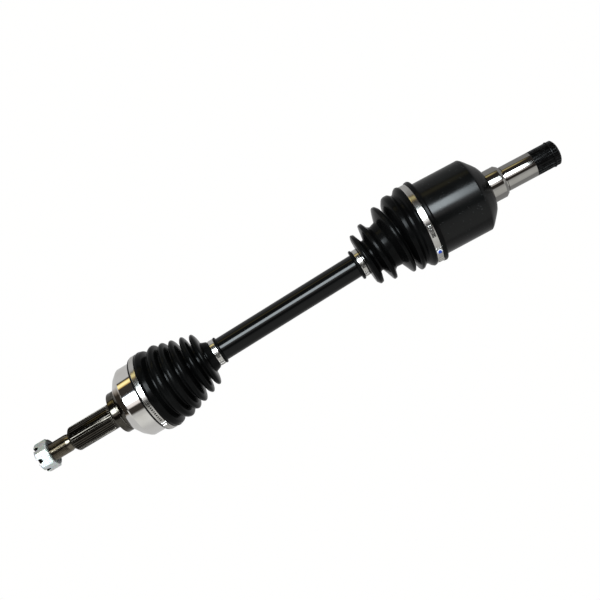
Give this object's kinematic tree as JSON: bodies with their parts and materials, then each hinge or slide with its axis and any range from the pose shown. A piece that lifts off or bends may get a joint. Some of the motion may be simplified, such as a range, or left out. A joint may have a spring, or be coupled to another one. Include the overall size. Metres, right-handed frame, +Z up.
{
  "type": "cv axle",
  "caption": "Front half shaft with a caged-ball joint at the wheel end, a plunging three-roller joint at the gearbox end, folded boots, bands and a castle hub nut.",
  "frame": {"origin": "on the bar's axis, half way between the two joint centres", "axes": "+X along the bar from the wheel end to the gearbox end, +Z up as it lies on a flat surface"},
  "size_m": [0.6556, 0.0943, 0.0947],
  "materials": {
    "zinc_plated_steel": "bright bluish-white zinc plate",
    "polished_steel": "turned and polished bare steel, dark at the splines and thread",
    "hardened_steel": "ground hardened steel, lightly oiled",
    "bearing_steel": "mirror-ground bearing steel",
    "spring_steel": "black-oxide spring steel",
    "boot_rubber": "matt black moulded rubber with a soft sheen",
    "band_steel": "bright stamped strip",
    "black_paint": "semi-gloss black paint",
    "housing_black": "satin black paint on the cup, ground bare steel on the stub"
  },
  "bodies": {
    "shaft": {"axle_bar": "black_paint", "inner_race": "hardened_steel", "inner_race_clip": "spring_steel", "outboard_small_clamp": "band_steel", "inboard_small_clamp": "band_steel", "tripod_spider": "hardened_steel", "spider_clip": "spring_steel", "needle_set_1": "bearing_steel", "needle_set_2": "bearing_steel", "needle_set_3": "bearing_steel", "roller_retainer_1": "spring_steel", "roller_retainer_2": "spring_steel", "roller_retainer_3": "spring_steel"},
    "outboard_cage": {"ball_cage": "hardened_steel", "outboard_balls": "bearing_steel", "outboard_boot": "boot_rubber"},
    "outboard_housing": {"outboard_bell": "polished_steel", "outboard_large_clamp": "band_steel"},
    "hub_nut": {"hub_nut": "zinc_plated_steel"},
    "inboard_boot": {"inboard_boot": "boot_rubber"},
    "inboard_housing": {"inboard_housing": "housing_black", "inboard_large_clamp": "band_steel", "stub_circlip": "spring_steel"},
    "roller_1": {"roller_1": "bearing_steel"},
    "roller_2": {"roller_2": "bearing_steel"},
    "roller_3": {"roller_3": "bearing_steel"}
  },
  "joints": [
    {"name": "outboard_cage_bend", "type": "hinge", "parent": "shaft", "child": "outboard_cage", "pos_m": [-0.189, 0, 0], "axis": [0, -0.9967, -0.0817], "range_deg": [-26.27, 15.73], "deforming": ["outboard_boot"]},
    {"name": "outboard_bell_bend", "type": "hinge", "parent": "outboard_cage", "child": "outboard_housing", "pos_m": [-0.189, 0, 0], "axis": [0, -0.9967, -0.0817], "range_deg": [-26.27, 15.73]},
    {"name": "hub_nut_turn", "type": "hinge", "parent": "outboard_housing", "child": "hub_nut", "pos_m": [-0.31258, 0.00188, -0.02291], "axis": [-0.9831, 0.0149, -0.1822], "continuous": true},
    {"name": "inboard_bend", "type": "hinge", "parent": "shaft", "child": "inboard_boot", "pos_m": [0.189, 0, 0], "axis": [0, 0.7285, -0.685], "range_deg": [-25.5, 14.51], "deforming": ["inboard_boot"]},
    {"name": "inboard_plunge", "type": "slide", "parent": "inboard_boot", "child": "inboard_housing", "axis": [0.9954, -0.0656, -0.0698], "range_m": [-0.01, 0.016]},
    {"name": "roller_1_spin", "type": "hinge", "parent": "shaft", "child": "roller_1", "pos_m": [0.189, 0.01785, -0.01678], "axis": [0, 0.7285, -0.685], "continuous": true},
    {"name": "roller_2_spin", "type": "hinge", "parent": "shaft", "child": "roller_2", "pos_m": [0.189, 0.00561, 0.02385], "axis": [0, 0.229, 0.9734], "continuous": true},
    {"name": "roller_3_spin", "type": "hinge", "parent": "shaft", "child": "roller_3", "pos_m": [0.189, -0.02346, -0.00707], "axis": [0, -0.9575, -0.2884], "continuous": true}
  ],
  "couplings": [
    {"joint": "outboard_bell_bend", "follows": "outboard_cage_bend", "ratio": 1}
  ]
}
